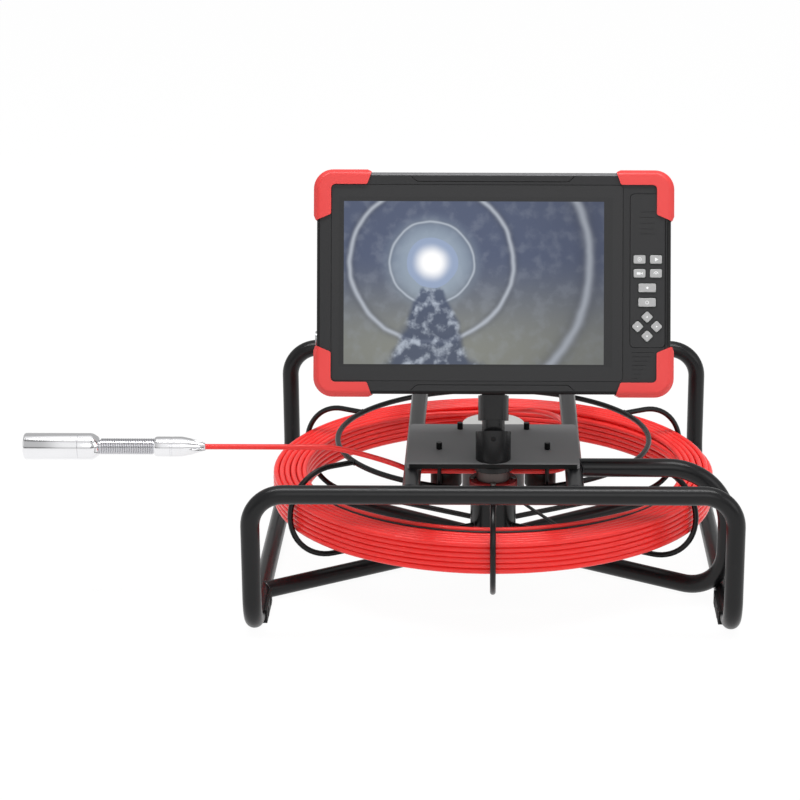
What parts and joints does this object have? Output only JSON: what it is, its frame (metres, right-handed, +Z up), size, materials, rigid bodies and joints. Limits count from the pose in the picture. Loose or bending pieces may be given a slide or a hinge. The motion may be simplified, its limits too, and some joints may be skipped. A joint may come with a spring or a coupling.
{
  "type": "inspection camera",
  "caption": "Pipe inspection camera: push cable on a flat cage reel in a bent tube frame, guide rollers, tilting monitor on a post, sprung camera head.",
  "frame": {"origin": "on the floor, on the reel's vertical axis, which is the middle of the frame's footprint", "axes": "+Z up, the monitor faces -Y, the camera head lies towards -X, the monitor's keys are on its +X side"},
  "size_m": [0.6147, 0.443, 0.3835],
  "materials": {
    "black_tube": "gloss black powder coat",
    "bright_steel": "zinc plated and turned steel",
    "brass_rings": "brass contact rings",
    "black_rubber": "matt black rubber",
    "black_metal": "satin black",
    "grey_brown_metal": "dull turned steel",
    "dark_red_gloss": "dark glossy flange",
    "black_wire": "black coated wire",
    "red_cable": "red sheathed push rod",
    "pale_plastic": "pale grey housing",
    "dark_roller": "dark plastic roller",
    "case_plastic": "fine textured dark grey plastic",
    "screen_glass": "clear flat glass",
    "screen_picture": "display showing the inside of a pipe",
    "circuit_board": "green solder mask",
    "battery_wrap": "blue shrink wrap",
    "red_bumper": "soft red rubber",
    "grey_key": "light grey keys",
    "polished_steel": "polished stainless steel",
    "spring_steel": "close wound spring",
    "lens_glass": "dark front window",
    "camera_black": "black camera module"
  },
  "bodies": {
    "base": {"frame_front": "black_tube", "frame_rear": "black_tube", "rail_sleeves": "bright_steel", "side_bars": "black_tube", "support_loop": "black_tube", "base_arms": "black_tube", "axle_base": "black_tube", "reel_axle": "bright_steel", "axle_nut": "bright_steel", "axle_clip": "bright_steel", "slip_ring_core": "brass_rings", "rubber_feet": "black_rubber", "top_plate": "black_metal", "guide_bolts": "black_metal", "roller_brackets": "black_metal", "post_socket": "black_metal", "lock_nut": "black_metal", "swivel_sleeve": "grey_brown_metal", "swivel_flange": "dark_red_gloss", "post_screws": "bright_steel", "push_cable": "red_cable", "collet_nose": "polished_steel", "cable_connector": "polished_steel", "head_spring": "spring_steel"},
    "reel": {"reel_hub": "black_metal", "hub_bearings": "bright_steel", "cage_ribs": "black_wire", "cage_ring": "black_wire", "cable_coil": "red_cable", "slip_ring_housing": "pale_plastic", "signal_lead": "black_rubber"},
    "roller_left": {"guide_roller_left": "dark_roller"},
    "roller_right": {"guide_roller_right": "dark_roller"},
    "swivel": {"swivel_shaft": "black_metal", "upper_collar": "black_metal"},
    "monitor": {"monitor_front": "case_plastic", "monitor_back": "case_plastic", "screen_glass": "screen_glass", "lcd_panel": "screen_picture", "main_board": "circuit_board", "battery_pack": "battery_wrap", "keypad_panel": "case_plastic", "corner_bumpers": "red_bumper", "side_socket": "bright_steel", "monitor_bracket": "black_metal", "tilt_pin": "bright_steel"},
    "head": {"head_collar": "polished_steel", "head_body": "polished_steel", "head_window": "lens_glass", "camera_module": "camera_black"},
    "key_photo": {"key_photo": "grey_key"},
    "key_play": {"key_play": "grey_key"},
    "key_video": {"key_video": "grey_key"},
    "key_menu": {"key_menu": "grey_key"},
    "key_record": {"key_record": "grey_key"},
    "key_power": {"key_power": "grey_key"},
    "key_up": {"key_up": "grey_key"},
    "key_left": {"key_left": "grey_key"},
    "key_right": {"key_right": "grey_key"},
    "key_down": {"key_down": "grey_key"}
  },
  "joints": [
    {"name": "reel_spin", "type": "hinge", "parent": "base", "child": "reel", "pos_m": [0, 0, 0.0665], "axis": [0, 0, 1], "continuous": true},
    {"name": "roller_left_spin", "type": "hinge", "parent": "base", "child": "roller_left", "pos_m": [-0.0409, -0.11079, 0.109], "axis": [0, 0, 1], "continuous": true},
    {"name": "roller_right_spin", "type": "hinge", "parent": "base", "child": "roller_right", "pos_m": [0.0409, -0.11079, 0.109], "axis": [0, 0, 1], "continuous": true},
    {"name": "monitor_swivel", "type": "hinge", "parent": "base", "child": "swivel", "pos_m": [0, -0.1528, 0.16], "axis": [0, 0, 1], "range_deg": [-170, 170]},
    {"name": "monitor_tilt", "type": "hinge", "parent": "swivel", "child": "monitor", "pos_m": [0, -0.12552, 0.197], "axis": [-1, 0, 0], "range_deg": [0, 60]},
    {"name": "head_flex", "type": "hinge", "parent": "base", "child": "head", "pos_m": [-0.31575, -0.1234, 0.1394], "axis": [0, 0, 1], "range_deg": [-60, 60], "stiffness_Nm_per_rad": 0.4, "deforming": ["head_spring"]},
    {"name": "key_photo_press", "type": "slide", "parent": "monitor", "child": "key_photo", "axis": [0, 0.9521, -0.3057], "range_m": [0, 0.0008], "stiffness_N_per_m": 400},
    {"name": "key_play_press", "type": "slide", "parent": "monitor", "child": "key_play", "axis": [0, 0.9521, -0.3057], "range_m": [0, 0.0008], "stiffness_N_per_m": 400},
    {"name": "key_video_press", "type": "slide", "parent": "monitor", "child": "key_video", "axis": [0, 0.9521, -0.3057], "range_m": [0, 0.0008], "stiffness_N_per_m": 400},
    {"name": "key_menu_press", "type": "slide", "parent": "monitor", "child": "key_menu", "axis": [0, 0.9521, -0.3057], "range_m": [0, 0.0008], "stiffness_N_per_m": 400},
    {"name": "key_record_press", "type": "slide", "parent": "monitor", "child": "key_record", "axis": [0, 0.9521, -0.3057], "range_m": [0, 0.0008], "stiffness_N_per_m": 400},
    {"name": "key_power_press", "type": "slide", "parent": "monitor", "child": "key_power", "axis": [0, 0.9521, -0.3057], "range_m": [0, 0.0008], "stiffness_N_per_m": 400},
    {"name": "key_up_press", "type": "slide", "parent": "monitor", "child": "key_up", "axis": [0, 0.9521, -0.3057], "range_m": [0, 0.0008], "stiffness_N_per_m": 400},
    {"name": "key_left_press", "type": "slide", "parent": "monitor", "child": "key_left", "axis": [0, 0.9521, -0.3057], "range_m": [0, 0.0008], "stiffness_N_per_m": 400},
    {"name": "key_right_press", "type": "slide", "parent": "monitor", "child": "key_right", "axis": [0, 0.9521, -0.3057], "range_m": [0, 0.0008], "stiffness_N_per_m": 400},
    {"name": "key_down_press", "type": "slide", "parent": "monitor", "child": "key_down", "axis": [0, 0.9521, -0.3057], "range_m": [0, 0.0008], "stiffness_N_per_m": 400}
  ],
  "couplings": [
    {"joint": "roller_left_spin", "follows": "reel_spin", "ratio": 16.9},
    {"joint": "roller_right_spin", "follows": "reel_spin", "ratio": 16.9}
  ]
}
